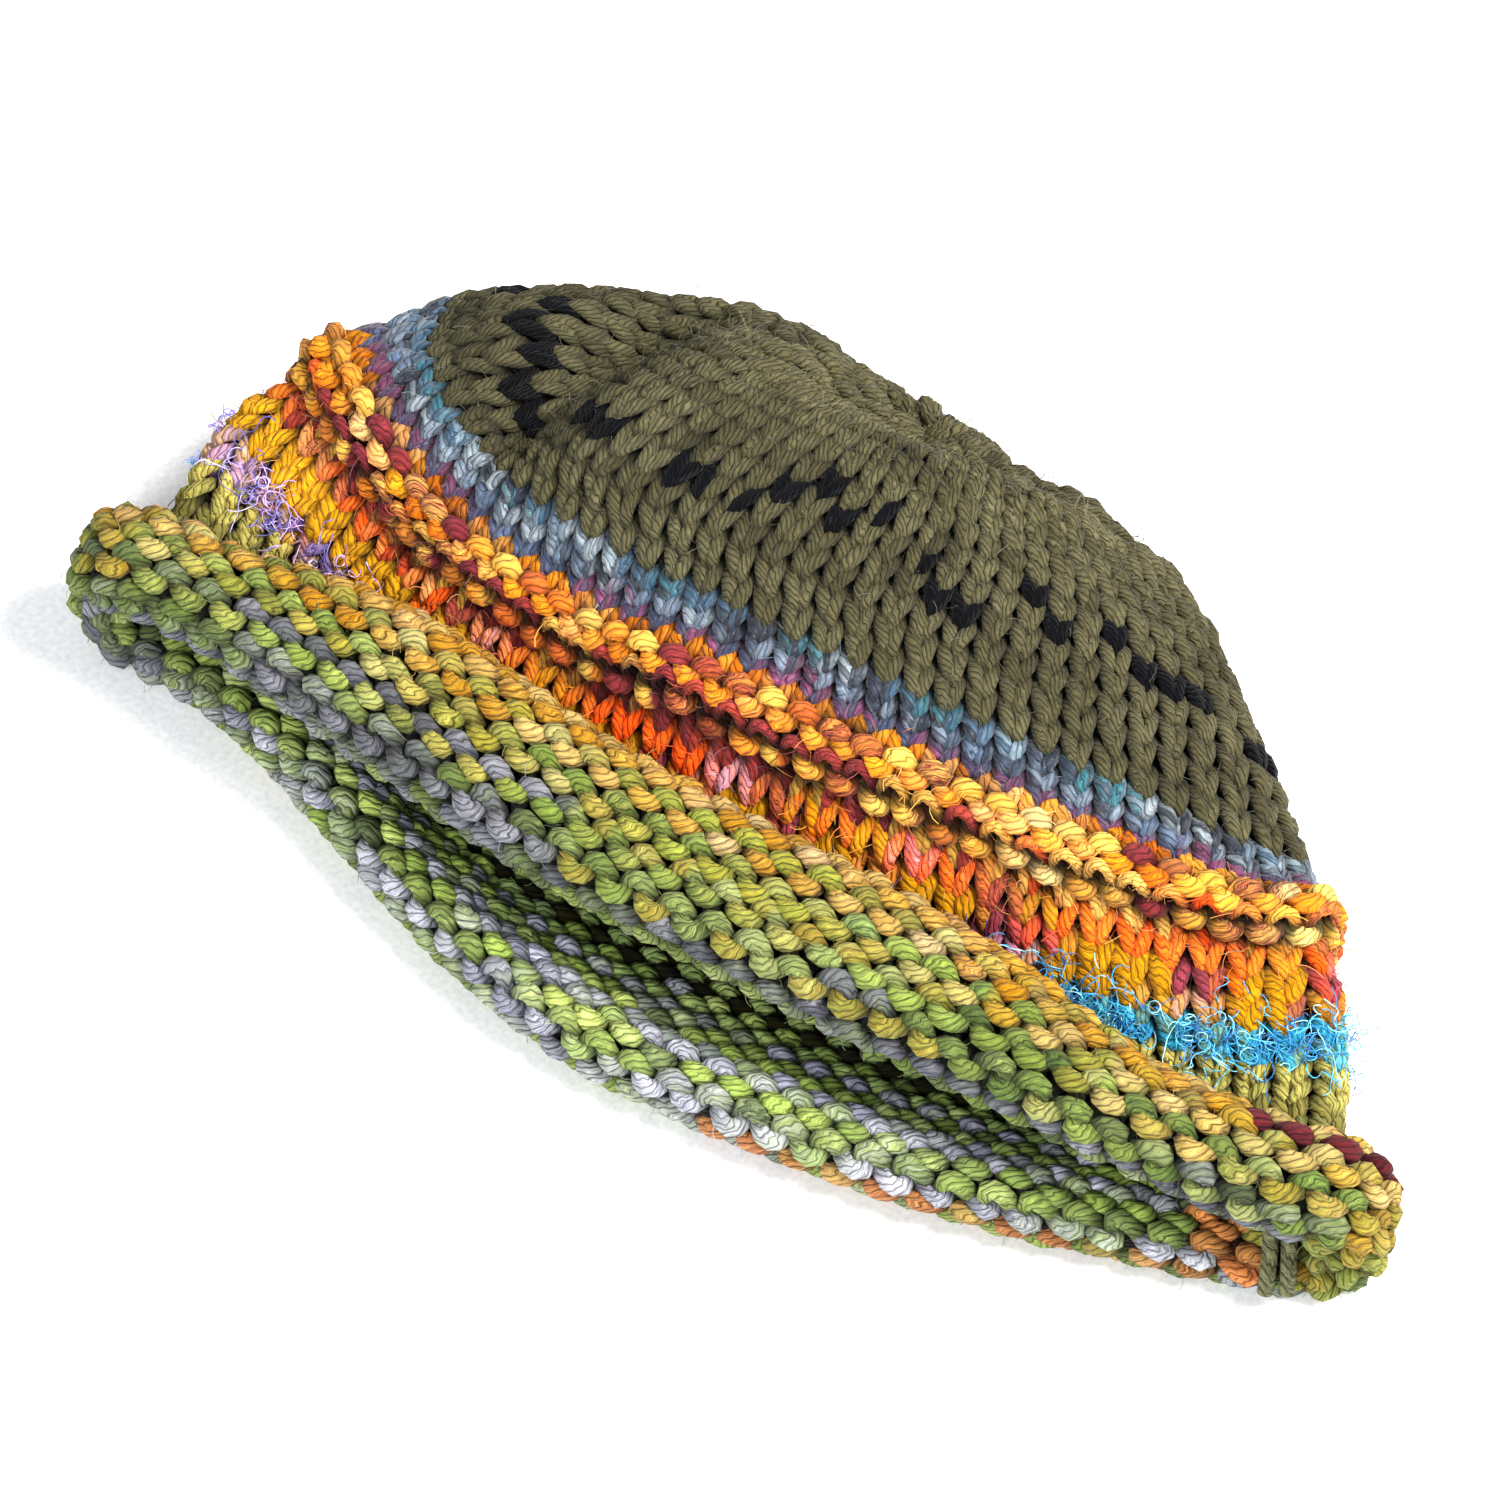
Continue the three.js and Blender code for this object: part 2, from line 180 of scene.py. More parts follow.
# A hair's root, middle and tip as shares of its length, how far it tilts either way in radians, and
# the least and the most of its length that it has
HAIR_BEND = ((0, 0, -0.1), (0.25, 0, 0.65), (0.9, 0.25, 0.8))
HAIR_TILT = 0.5
HAIR_SIZES = (0.45, 1.5)
WHOLE_TURN = 6.283


def halo_tree():
    """Short bent hairs that stand out of a surface."""
    kinds = [
        ("Hairs per m2", "NodeSocketFloat"),
        ("Hair length", "NodeSocketFloat"),
        ("Hair width", "NodeSocketFloat"),
        ("Seed", "NodeSocketInt"),
        ("Material", "NodeSocketMaterial"),
    ]
    net, start = geometry_tree("halo of hairs", kinds)
    spots = net.add(
        "GeometryNodeDistributePointsOnFaces",
        ("Mesh", start),
        ("Density", start.out("Hairs per m2")),
        ("Seed", start.out("Seed")),
        out="Points",
    )
    root, middle, tip = HAIR_BEND
    hair = net.add(
        "GeometryNodeCurveQuadraticBezier",
        ("Resolution", 3),
        ("Start", root),
        ("Middle", middle),
        ("End", tip),
    )
    length = start.out("Hair length")
    thin = net.add(
        "GeometryNodeCurvePrimitiveCircle",
        ("Resolution", 3),
        ("Radius", start.out("Hair width") / length),
        mode="RADIUS",
    )
    shaft = net.add(
        "GeometryNodeCurveToMesh", ("Curve", hair), ("Profile Curve", thin), ("Fill Caps", True)
    )
    spin = net.add(
        "FunctionNodeRandomValue",
        ("Min", (-HAIR_TILT, -HAIR_TILT, 0.0)),
        ("Max", (HAIR_TILT, HAIR_TILT, WHOLE_TURN)),
        ("Seed", start.out("Seed")),
        data_type="FLOAT_VECTOR",
    )
    turned = net.add(
        "FunctionNodeRotateEuler",
        ("Rotation", spots.out("Rotation")),
        ("Rotate By", spin),
        space="LOCAL",
    )
    # Inputs 2 and 3 are the least and the most of a random number
    size = net.add(
        "FunctionNodeRandomValue",
        (2, HAIR_SIZES[0]),
        (3, HAIR_SIZES[1]),
        ("Seed", start.out("Seed")),
        out=1,
        data_type="FLOAT",
    )
    hairs = net.add(
        "GeometryNodeInstanceOnPoints",
        ("Points", spots),
        ("Instance", shaft),
        ("Rotation", turned),
        ("Scale", size * length),
    )
    return close_tree(net, hairs, start.out("Material"))


def through_tree(piece, tree, **values):
    """Runs a piece through a tree and makes it a plain mesh. values go to the inputs of those names,
    where _ stands for a space."""
    modifier = piece.modifiers.new("nodes", "NODES")
    modifier.node_group = tree
    names = {item.name: item.identifier for item in tree.interface.items_tree if item.in_out == "INPUT"}
    for name, value in values.items():
        modifier[names[name.replace("_", " ")]] = value
    graph = bpy.context.evaluated_depsgraph_get()
    mesh = bpy.data.meshes.new_from_object(
        piece.evaluated_get(graph), preserve_all_data_layers=True, depsgraph=graph
    )
    piece.modifiers.clear()
    old = piece.data
    piece.data = mesh
    bpy.data.meshes.remove(old)
    mesh.name = piece.name
    return piece


# ------------------------------------------------------------------ shape of the cap
# Half its width, its depth, its height and its wall in mm, and how far it lies along Y
HALF_WIDTH, DEPTH, HEIGHT, WALL, SHIFT_Y = 125.0, 140.0, 66.0, 5.0, 4.0

# First round of each stripe, counted from the lip, and the pole in the middle of the gather
BRIM_END, EYELASH, BAND, WELT, BLUE, CROWN, POLE = 6, 8, 10, 14, 16, 19, 40

# The upper layer's roll in mm: the radius of its turn, its face in the middle and at the ends of the
# mouth, the radius of its curl and how far apart its rows are
ROLL_TURN, ROLL_FACE, END_FACE, ROLL_CURL, ROLL_PITCH = 5.5, 14.0, 5.0, 5.0, 5.0
# Its angles in radians: what its turn lacks of half a turn, and how much more in the middle, then how
# far it curls, and how much less in the middle
TURN_LACK, MIDDLE_LACK, CURL, MIDDLE_UNCURL = 0.12, 0.54, 2.2, 0.7
# The lower layer's edge: the radius of its turn and its face in mm, and how far it curls in radians
FLAT_TURN, FLAT_FACE, FLAT_CURL = 4.25, 2.0, 0.15
# Where one becomes the other, and where the roll becomes full, as sines of the angle round the cap
ROLL_STARTS = (-0.35, 0.05)
ROLL_FULL = {"left": (0.45, 0.9), "right": (0.68, 1.0)}

# How far the layers part beside the ends of the mouth in mm, how fast, and how far from the ends
END_OPEN, OPEN_PACE, OPEN_REACH = 7.0, 7, 0.45
END_ROUND = 0.15  # how blunt the ends are
TOP_ARCH, LOW_ARCH = 1.0, 0.5  # the powers of the sine that the layers arch by
FOLDS_START, FOLDS_END = (0.1, 0.5), 12  # sines where folds fade in, power they fade by at the pole

# Where the wall's middle surface runs, as shares of the sizes above, a row for each station. The last
# four columns are the powers by which each half of each layer bows towards the crown
COLUMNS = (
    "round left right leftY rightY topY lowY leftZ rightZ topZ lowZ topBowL topBowR lowBowL lowBowR"
).split()
STATIONS = np.array(
    [
        (0, -0.996, 1.0, -0.215, -0.27, -0.342, -0.447, 0.21, 0.22, 0.38, 0.167, 3.6, 1.0, 4.8, 1.7),
        (5, -0.996, 0.95, -0.118, -0.165, -0.265, -0.289, 0.3, 0.3, 0.303, 0.053, 3, 1, 2.2, 1),
        (8, -1.0, 0.915, -0.025, -0.089, -0.22, -0.189, 0.364, 0.348, 0.333, 0.03, 2.2, 1, 1.4, 1),
        (10, -0.995, 0.88, 0.025, -0.046, -0.19, -0.118, 0.394, 0.394, 0.4, 0.015, 1.8, 0.9, 1.2, 1),
        (12, -0.965, 0.84, 0.082, 0.004, -0.152, -0.046, 0.424, 0.424, 0.5, 0, 1.6, 0.9, 1.2, 1),
        (15, -0.924, 0.78, 0.168, 0.068, -0.06, 0.054, 0.47, 0.47, 0.682, 0, 1.3, 0.8, 1.2, 1),
        (19, -0.81, 0.725, 0.325, 0.118, 0.012, 0.182, 0.5, 0.485, 0.81, 0, 0.7, 0.75, 1.2, 1.2),
        (24, -0.724, 0.575, 0.354, 0.235, 0.14, 0.325, 0.576, 0.485, 0.93, 0.03, 0.8, 2, 1.2, 1.2),
        (29, -0.548, 0.395, 0.4, 0.348, 0.23, 0.405, 0.66, 0.6, 0.97, 0.212, 0.9, 1.4, 1, 1),
        (34, -0.332, 0.21, 0.43, 0.385, 0.28, 0.4, 0.77, 0.74, 0.93, 0.47, 1, 1, 1, 1),
        (38, -0.19, 0.05, 0.395, 0.355, 0.311, 0.402, 0.85, 0.76, 0.84, 0.78, 1, 1, 1, 1),
        (40, -0.044, -0.044, 0.36, 0.36, 0.36, 0.36, 0.75, 0.75, 0.75, 0.75, 1, 1, 1, 1),
    ]
)

# Folds of the upper layer, as shares of the sizes above: from x, y to x, y, reach, rise
FOLDS = {
    "valley beside the left hump": (-0.4, 0.45, -0.57, 0.16, 0.06, -0.2),
    "main bulge": (-0.25, 0.37, -0.38, 0.16, 0.09, 0.1),
    "left hump": (-0.64, 0.38, -0.7, 0.25, 0.12, 0.06),
    "ridge before the gather": (0, 0.26, 0.24, 0.31, 0.04, 0.06),
    "valley behind the ridge": (0.05, 0.34, 0.27, 0.37, 0.035, -0.09),
    "crease across the stripes": (-0.66, 0.0, -0.32, -0.06, 0.08, -0.08),
}


def smoothstep(x, low, high):
    t = np.clip((x - low) / (high - low), 0, 1)
    return t * t * (3 - 2 * t)


def station_at(rounds):
    """Each column of the table at the given rounds, on a smooth curve through the stations."""
    at = STATIONS[:, 0]
    last = len(at) - 1
    i = np.clip(np.searchsorted(at, rounds, side="left") - 1, 0, last - 1)
    slopes = np.gradient(STATIONS, axis=0) / np.gradient(at)[:, None]
    slopes[1:-1] = (STATIONS[2:] - STATIONS[:-2]) / (at[2:] - at[:-2])[:, None]
    span = (at[i + 1] - at[i])[..., None]
    t = (rounds - at[i])[..., None] / span
    value = (
        (2 * t**3 - 3 * t**2 + 1) * STATIONS[i]
        + (t**3 - 2 * t**2 + t) * span * slopes[i]
        + (3 * t**2 - 2 * t**3) * STATIONS[i + 1]
        + (t**3 - t**2) * span * slopes[i + 1]
    )
    return {name: value[..., k] for k, name in enumerate(COLUMNS)}


def fold_height(x, y):
    height = np.zeros_like(x)
    for x1, y1, x2, y2, reach, rise in FOLDS.values():
        fx, fy = x1 * HALF_WIDTH, y1 * DEPTH
        ax, ay = x2 * HALF_WIDTH - fx, y2 * DEPTH - fy
        share = np.clip(((x - fx) * ax + (y - fy) * ay) / (ax * ax + ay * ay), 0, 1)
        away = np.hypot(x - fx - ax * share, y - fy - ay * share) / (reach * DEPTH)
        height += rise * HEIGHT * np.exp(-away * away)
    return height


def surface(rounds, angle):
    """The wall's middle surface. angle 0 is the right end, and a quarter turn the upper layer's middle."""
    rounds, angle = np.broadcast_arrays(rounds, angle)
    row = station_at(rounds)
    across, up = np.cos(angle), np.sin(angle)
    right = (1 + across) / 2
    end_y = row["leftY"] + (row["rightY"] - row["leftY"]) * right
    end_z = row["leftZ"] + (row["rightZ"] - row["leftZ"]) * right
    upper, rightward = up > 0, across > 0
    bow = np.where(
        upper,
        np.where(rightward, row["topBowR"], row["topBowL"]),
        np.where(rightward, row["lowBowR"], row["lowBowL"]),
    )
    blunt = (np.hypot(up, END_ROUND) - END_ROUND) / (math.hypot(1, END_ROUND) - END_ROUND)
    towards_y = np.maximum(blunt, 0) ** bow
    towards_z = np.abs(up) ** np.where(upper, TOP_ARCH, LOW_ARCH)
    x = ((row["left"] + row["right"]) / 2 + across * (row["right"] - row["left"]) / 2) * HALF_WIDTH
    y = (end_y + towards_y * (np.where(upper, row["topY"], row["lowY"]) - end_y)) * DEPTH
    z = (end_z + towards_z * (np.where(upper, row["topZ"], row["lowZ"]) - end_z)) * HEIGHT
    mouth = np.maximum(0, 1 - (rounds / CROWN) ** 2)
    opened = END_OPEN * np.tanh(OPEN_PACE * np.abs(up)) * np.exp(-((up / OPEN_REACH) ** 2)) * mouth
    z = z + np.where(upper, opened, -opened)
    fade = smoothstep(up, *FOLDS_START) * (1 - (rounds / POLE) ** FOLDS_END)
    z = z + np.where(upper, fold_height(x, y) * fade, 0)
    return np.stack([x, y + SHIFT_Y, np.maximum(z, WALL / 2)], axis=-1)


def unit(v):
    return v / np.maximum(np.linalg.norm(v, axis=-1, keepdims=True), 1e-9)


NEAR_ROUND, NEAR_ANGLE = 0.2, 0.05  # how far off the places are that directions are taken from


def directions(rounds, angle):
    """From the lip towards the crown, and outwards."""
    before = surface(np.maximum(rounds - NEAR_ROUND, 0), angle)
    after = surface(np.minimum(rounds + NEAR_ROUND, POLE - NEAR_ROUND), angle)
    along = unit(after - before)
    side = unit(surface(rounds, angle + NEAR_ANGLE) - surface(rounds, angle - NEAR_ANGLE))
    out = unit(np.cross(along, side))
    return unit(np.cross(side, out)), out


def crowded(length, rows, pitch, count):
    """Distance along a stretch of the given length for each row: evenly at first, crowded where the
    stretch runs out."""

    def shape(x):
        return (1 - np.exp(-(x**4))) ** 0.25

    return length * shape(pitch * rows / length) / shape(pitch * count / length)


def roll_places(angle, rows):
    """Middle line of the rolled edge and its knit side, for rows counted from the lip."""
    share = smoothstep(np.sin(angle), *ROLL_STARTS)
    full = {side: smoothstep(np.sin(angle), *limits) for side, limits in ROLL_FULL.items()}
    middle = np.where(np.cos(angle) > 0, full["right"], full["left"])
    turn = math.pi - (TURN_LACK + MIDDLE_LACK * middle) * share
    radius = FLAT_TURN + (ROLL_TURN - FLAT_TURN) * share
    curl_radius = FLAT_TURN + (ROLL_CURL - FLAT_TURN) * share
    face = FLAT_FACE + (END_FACE + (ROLL_FACE - END_FACE) * middle - FLAT_FACE) * share
    curl = FLAT_CURL + (CURL - MIDDLE_UNCURL * middle - FLAT_CURL) * share
    length = radius * turn + face + curl_radius * curl
    s = crowded(length, rows, ROLL_PITCH, ROLL_ROWS)
    a1 = np.minimum(s / radius, turn)
    straight = np.clip(s - radius * turn, 0, face)
    a2 = np.maximum(s - radius * turn - face, 0) / curl_radius
    heading = a1 + a2
    forward = radius * np.sin(a1) + straight * np.cos(turn)
    forward += curl_radius * (np.sin(turn + a2) - np.sin(turn))
    outwards = radius * (1 - np.cos(a1)) + straight * np.sin(turn)
    outwards += curl_radius * (np.cos(turn) - np.cos(turn + a2))
    lip = np.zeros_like(angle)
    along, out = directions(lip, angle)
    point = surface(lip, angle) - along * forward[..., None] + out * outwards[..., None]
    point[..., 2] = np.maximum(point[..., 2], WALL / 2)
    return point, along * np.sin(heading)[..., None] + out * np.cos(heading)[..., None]


# ------------------------------------------------------------------ the knitted sheet
STITCHES = 72
ROLL_ROWS = 7
ROW_PITCH = 5.1  # mm from round to round where they aren't crowded
PIT = 3.0  # mm that the crowded rounds sink at the gather
SINKING = (4, 30)  # mm of crowding at which they begin to sink and have sunk
STEP = 0.25  # rounds between the sheet's stored rows
PER_STITCH = 16  # stored places a stitch
LAST_ROLL_ROW = ROLL_ROWS + 0.4  # where the stored roll ends
ANGLES = 721
POLE_ROWS = 4  # stored rows next to the pole, which take the direction of the row before them


def make_sheet():
    """Places and outward directions for every round and every share of the way round the cap."""
    angle = np.linspace(0, 2 * math.pi, ANGLES)
    roll_rows = np.arange(ROLL_ROWS + 1, 0, -STEP)
    roll = [roll_places(angle, np.minimum(row, LAST_ROLL_ROW)) for row in roll_rows]
    wall_rows = np.arange(0, POLE + STEP / 2, STEP)
    place = surface(wall_rows[:, None], angle[None, :])
    _, out = directions(wall_rows[:, None], angle[None, :] + 0 * wall_rows[:, None])
    out[-POLE_ROWS:] = out[-POLE_ROWS - 1]

    # The olive rounds keep their pitch and crowd at the gather
    first = int(CROWN / STEP)
    steps = np.linalg.norm(np.diff(place[first:], axis=0), axis=-1)
    run = np.vstack([np.zeros(len(angle)), np.cumsum(steps, axis=0)])
    count = POLE - CROWN
    rows = wall_rows[first:] - CROWN
    for k in range(len(angle)):
        target = crowded(run[-1, k], rows, ROW_PITCH, count)
        sink = PIT * smoothstep(ROW_PITCH * rows - target, *SINKING)
        moved = [np.interp(target, run[:, k], place[first:, k, c]) for c in range(3)]
        facing = [np.interp(target, run[:, k], out[first:, k, c]) for c in range(3)]
        out[first:, k] = unit(np.stack(facing, axis=-1))
        place[first:, k] = np.stack(moved, axis=-1) - out[first:, k] * sink[:, None]
    place = np.concatenate([np.stack([p for p, _ in roll]), place])
    out = np.concatenate([np.stack([n for _, n in roll]), out])

    # The stitches of each layer are equally wide
    half = len(angle) // 2
    layer = STITCHES * PER_STITCH // 2
    sheet = np.zeros((len(place), 2 * layer, 6))
    for i, both in enumerate(np.concatenate([place, out], axis=-1)):
        for side, part in enumerate((both[: half + 1], both[half:])):
            run = measure(part[:, :3])
            where = np.linspace(0, run[-1], layer, endpoint=False)
            for c in range(6):
                sheet[i, side * layer : (side + 1) * layer, c] = np.interp(where, run, part[:, c])
    return sheet


def measure(points):
    """Distance along a line of points."""
    steps = np.linalg.norm(np.diff(points, axis=0), axis=1)
    return np.concatenate([[0], np.cumsum(steps)])


def on_sheet(sheet, rounds, share):
    """Place and outward direction at a round, 0 at the lip and less on the roll, and at a share of the
    way round."""
    i = np.clip((rounds + ROLL_ROWS + 1) / STEP, 0, len(sheet) - 1.001)
    j = (share % 1.0) * sheet.shape[1]
    i0, j0 = np.floor(i).astype(int), np.floor(j).astype(int)
    fi, fj = (i - i0)[..., None], (j - j0)[..., None]
    j0, j1 = j0 % sheet.shape[1], (j0 + 1) % sheet.shape[1]
    both = (sheet[i0, j0] * (1 - fj) + sheet[i0, j1] * fj) * (1 - fi)
    both += (sheet[i0 + 1, j0] * (1 - fj) + sheet[i0 + 1, j1] * fj) * fi
    return both[..., :3], unit(both[..., 3:])


# ------------------------------------------------------------------ dyes
def dye(text):
    """Linear colour of a six-digit sRGB code."""
    srgb = np.array([int(text[i : i + 2], 16) / 255 for i in (0, 2, 4)])
    return np.where(srgb <= 0.04045, srgb / 12.92, ((srgb + 0.055) / 1.055) ** 2.4)


# Dyes of each round, most frequent first: the yarn changes between them as it runs
ROUND_DYES = {
    -7: "e8b040 f0c890 dca030 e8c060",
    -6: "e8a828 f4d080 dc9820 ecc050 c8a840 f8d8a0",
    -5: "ccb444 b4bc54 e4cc68 a0a04c ecdc94 8c9c50",
    -4: "a0b454 bccc6c 849c54 d0c468 c8d890 708044",
    -3: "9898a0 a8a8b0 8ca054 84848c b4b8a8 70785c",
    -2: "8ca054 a8b868 687450 94a45c a4a4b0 bcc884",
    -1: "9898a0 a4a4ac 80808c 8c9c5c acacb4 747a74",
    0: "8ca050 a0b060 687450 b0bc6c 98989c",
    1: "8c8c9c b0b0c0 747a78 84905c a0a0b0",
    2: "7c9048 98ac58 606c40 a8b46c 909098",
    3: "84985c 98a868 74844c",
    4: "9c9850 888c60 b0a858",
    5: "a49c54 948c4c b4a858",
    6: "a8a058 b8ac60 98904c",
    7: "b4a858 c4b464 9c9450",
    8: "b4a050 c8ac58 a08c48",
    9: "c8a048 d8a850 a88840",
    10: "a04858 c08c10 d0a0b8 904048 d8a018",
    11: "8c3c48 d09410 b45870 f06010 a04858",
    12: "e07828 f05c10 98443c d09810 e88830 c898b0",
    13: "f0b860 e89838 f05810 b8603c e8c050",
    14: "e8b040 8c3838 f4d070 7c3038 f4dc90",
    15: "ec8820 f4a840 e07818 f8c080 f0a820",
    16: "94386c b85090 44547c a04078 5c4478 6c84b0",
    17: "3c5074 a4b8d0 8c3468 283450 7c98bc c8d8e4",
    18: "5080a4 202c44 b4d0e0 3c98a8 2c3c5c d0e0e8",
}
OLIVE = "7e7856 908a66 686246"

# Where one round takes other dyes: first round, last round, from stitch, to stitch, dyes
PATCHES = [
    (-6, -6, 0.5, 4.6, "7c3038 8c3c40 601c24"),
    (-5, -4, 0, 11, "d8b040 e8c468 b8a848 f0d088 98a850"),
    (-5, -4, 33, 37, "d0a840 a8b050 e0bc58 90a050"),
    (-3, -3, 0, 21, "8ca454 a8b860 c8b050 708448 c4cc84"),
    (-4, -3, 56, 68.2, "b87850 c49060 a06840 c8a868 a89858"),
    (-2, 0, 68.3, 69.6, "c87848 c88c50"),
    (-3, 1, 69.6, 72, "8ca45c a8b058 d0a840 90a468"),
    (-3, 1, 0, 1.5, "8ca45c a8b058 d0a840 90a468"),
    (8, 9, 0, 8.5, "50b0c8 3c98b8 88a070"),
    (8, 9, 8.5, 12, "7870b8 484080 a08890"),
    (8, 9, 27, 37, "d08848 a894c8 c8a048 886cb0"),
    (10, 11, 28, 36, "d09818 e0a020 c08c18"),
    (12, 13, 27, 35, "f06018 e87830 a04030 f0a060"),
    (13, 13, 10, 34, "7c3038 8c3838 e8b850 7c3038 b04838"),
    (14, 14, 10, 34, "7c3038 e89838 8c3838 f4c860 dc7828"),
]

# Stitches of the crown worked in black: round, from stitch, to stitch
BLACK_STITCHES = [
    (22, 0, 2),
    (23, 3, 6),
    (24, 6, 7),
    (23, 8, 9),
    (24, 9, 10),
    (22, 11, 13),
    (23, 13, 13.5),
    (24, 15, 15.5),
    (23, 16, 17),
    (24, 17, 18),
    (23, 18, 19),
    (22, 19, 19.5),
    (22, 20.5, 22),
    (22, 24, 26),
    (21, 28, 31),
    (22, 31, 33),
    (23, 33, 34),
    (21, 35, 36),
]
BLACK = "0c0c14 13131c"
SLUB_DYES = ("b47e08", "cc9414")

# How strong the light thrown back is, from a round on
STRENGTH = {-8: 0.5, BRIM_END: 0.95, BLUE: 0.37, CROWN: 0.41, CROWN + 9: 0.5}

# A round's dyes: the odds of its last one against its first, changes a stitch, how far a change may
# come late, and where between two changes the yarn goes from one dye to the next
LAST_ODDS, CHANGES, LATE, CHANGING = 0.35, 0.9, 0.9, (0.15, 0.85)
PATCH_CHANGES = 1.5  # changes a stitch in a patch


def strength(row):
    return [share for first, share in STRENGTH.items() if row >= first][-1]


def round_dyes(row, count, random):
    """Two dyes for each point of a round, which changes dye every few stitches."""
    names = ROUND_DYES.get(row, OLIVE).split()
    stitches = count // PER_STITCH
    colours = np.array([dye(name) for name in names])
    odds = np.linspace(1, LAST_ODDS, len(names))
    odds /= odds.sum()
    both = []
    for _ in range(2):
        knots = int(stitches * CHANGES)
        picks = colours[random.choice(len(names), knots, p=odds)]
        where = np.sort((np.arange(knots) + random.uniform(0, LATE, knots)) / knots)
        t = np.arange(count) / count
        wrapped = np.concatenate([[where[-1] - 1], where, [where[0] + 1]])
        around = np.vstack([picks[-1:], picks, picks[:1]])
        k = np.clip(np.searchsorted(wrapped, t, side="right") - 1, 0, knots)
        mix = smoothstep((t - wrapped[k]) / (wrapped[k + 1] - wrapped[k]), *CHANGING)[:, None]
        both.append(around[k] * (1 - mix) + around[k + 1] * mix)
    t = np.arange(count) / PER_STITCH
    if row in SLUB_ROUNDS:
        share = slubs(row, t)[:, None]
        both = [colours * (1 - share) + dye(name) * share for colours, name in zip(both, SLUB_DYES)]
    spots = [(a, b, names) for first, last, a, b, names in PATCHES if first <= row <= last]
    spots += [(a, b, BLACK) for at, a, b in BLACK_STITCHES if at == row]
    for start, end, names in spots:
        own = np.array([dye(name) for name in names.split()])
        inside = (t >= start) & (t < end)
        change = (t[inside] * PATCH_CHANGES).astype(int)
        for colours in both:
            colours[inside] = own[random.integers(0, len(own), stitches * 2)][change]
    return both


# ------------------------------------------------------------------ stitches
# Loops as the knit side shows them and as the purl side does. width is the yarn's radius in mm, reach
# how far a loop goes up and down in rounds, lean how much its legs lean and pair how far they are
# drawn together in stitches, depth how far it goes in and out, tuck how far its head lies behind and
# swell how much fuller the yarn is on the legs than on the heads
KNIT = dict(width=1.52, reach=1.03, lean=0.25, pair=0.035, depth=1.4, tuck=0.65, swell=0.26)
PURL = dict(width=1.8, reach=0.8, lean=0.17, pair=0.0, depth=1.2, tuck=0.1, swell=-0.12)
PURL_ROUNDS = {WELT, WELT + 1}

# The raised ridge: its height in mm, its middle and its reach in rounds, and how much it spreads them
RIDGE_RISE, RIDGE_ROUND, RIDGE_REACH, RIDGE_SPREAD = 3.0, 14.8, 1.15, 0.35

# How far the wool sinks between two columns of stitches in mm, how wide that gap is, and how much
# painted shade is laid into it
COLUMN_SINK, COLUMN_GAP, PAINTED_GAP_SHADE = 1.2, 0.05, 0.5

# How unevenly the loops lie: along and up in stitches and rounds, their reach, depth and width
UNEVEN = dict(along=0.04, reach=0.06, up=0.06, depth=0.2, width=0.04)
# More of that depth in mm where the wool is gathered, and the rounds over which it comes
GATHER_LUMPS, GATHER_ROUNDS = 0.55, (CROWN + 6, CROWN + 11)
PAINTED_SHADE_DEPTHS = (-0.7, 1.3)  # mm behind and before the middle where a loop's painted shade is darkest and lightest

# The thick fuzzy yarn: its rounds, how many slubs one has, how much thicker they are, how sharply
# they begin, how far they are out of step from round to round, and how unevenly they follow
SLUB_ROUNDS = (BAND, BAND + 1)
SLUBS, SLUB_SWELL, SLUB_ENDS, SLUB_SHIFT = 19, 0.45, (-0.25, 0.25), 0.9
SLUB_SWAY, SLUB_SWAYS = 1.6, 5


def slubs(row, t):
    """Where the thick fuzzy yarn swells, 0 to 1, from the place t along the round in stitches."""
    turn = 2 * math.pi * t / STITCHES
    wave = np.sin(turn * SLUBS + SLUB_SHIFT * row + SLUB_SWAY * np.sin(turn * SLUB_SWAYS))
    return smoothstep(wave, *SLUB_ENDS)


